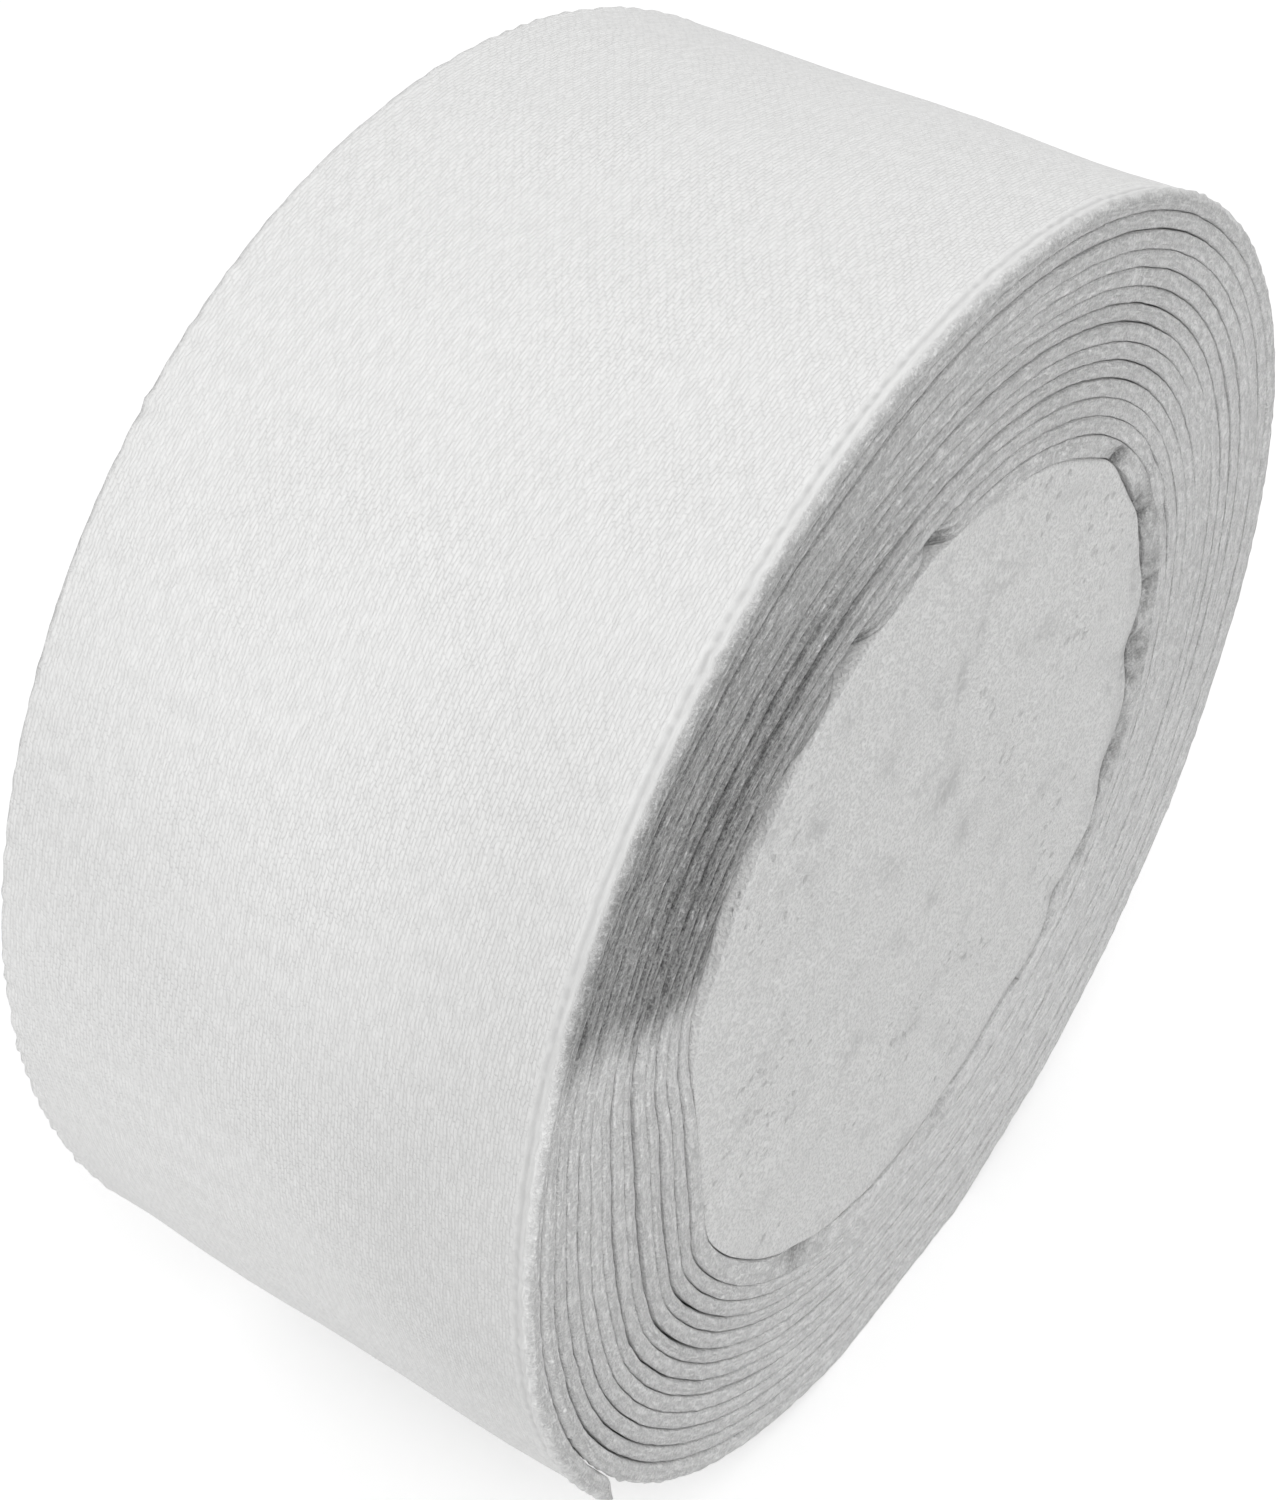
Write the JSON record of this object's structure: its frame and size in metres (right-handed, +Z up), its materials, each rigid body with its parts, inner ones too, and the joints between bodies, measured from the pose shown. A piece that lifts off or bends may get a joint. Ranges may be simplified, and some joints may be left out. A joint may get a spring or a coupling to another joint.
{
  "type": "grip tape roll",
  "caption": "Roll of white woven grip tape wound in a spiral on a solid pale plug, standing on its rim, with a tail that peels off and a plug that pushes out.",
  "frame": {"origin": "middle of the flat that the roll rests on, at the lowest point of its rim", "axes": "+Z up, Y along the roll's axis with the pictured end at -Y, +X to the right seen from that end"},
  "size_m": [0.0618, 0.0274, 0.0609],
  "materials": {
    "tape_cloth": "white satin-faced weave, matt, with a smooth selvedge bead",
    "core": "pale pressed fibre, soft and mottled with grey smudges"
  },
  "bodies": {
    "winding": {"tape_winding": "tape_cloth"},
    "core": {"core_plug": "core"},
    "tail_1": {"tape_tail_1": "tape_cloth"},
    "tail_2": {"tape_tail_2": "tape_cloth"},
    "tail_3": {"tape_tail_3": "tape_cloth"},
    "tail_4": {"tape_tail_4": "tape_cloth"}
  },
  "joints": [
    {"name": "core_push_out", "type": "slide", "parent": "winding", "child": "core", "axis": [0, 1, 0], "range_m": [-0.03, 0.03]},
    {"name": "tail_peel_1", "type": "hinge", "parent": "winding", "child": "tail_1", "pos_m": [-0.02714, 0, 0.04513], "axis": [0, 1, 0], "range_deg": [0, 30]},
    {"name": "tail_peel_2", "type": "hinge", "parent": "tail_1", "child": "tail_2", "pos_m": [-0.0301, 0, 0.03703], "axis": [0, 1, 0], "range_deg": [0, 30]},
    {"name": "tail_peel_3", "type": "hinge", "parent": "tail_2", "child": "tail_3", "pos_m": [-0.03082, 0, 0.02847], "axis": [0, 1, 0], "range_deg": [0, 30]},
    {"name": "tail_peel_4", "type": "hinge", "parent": "tail_3", "child": "tail_4", "pos_m": [-0.02936, 0, 0.01997], "axis": [0, 1, 0], "range_deg": [0, 30]}
  ],
  "couplings": [
    {"joint": "tail_peel_2", "follows": "tail_peel_1", "ratio": 1},
    {"joint": "tail_peel_3", "follows": "tail_peel_1", "ratio": 1},
    {"joint": "tail_peel_4", "follows": "tail_peel_1", "ratio": 1}
  ]
}
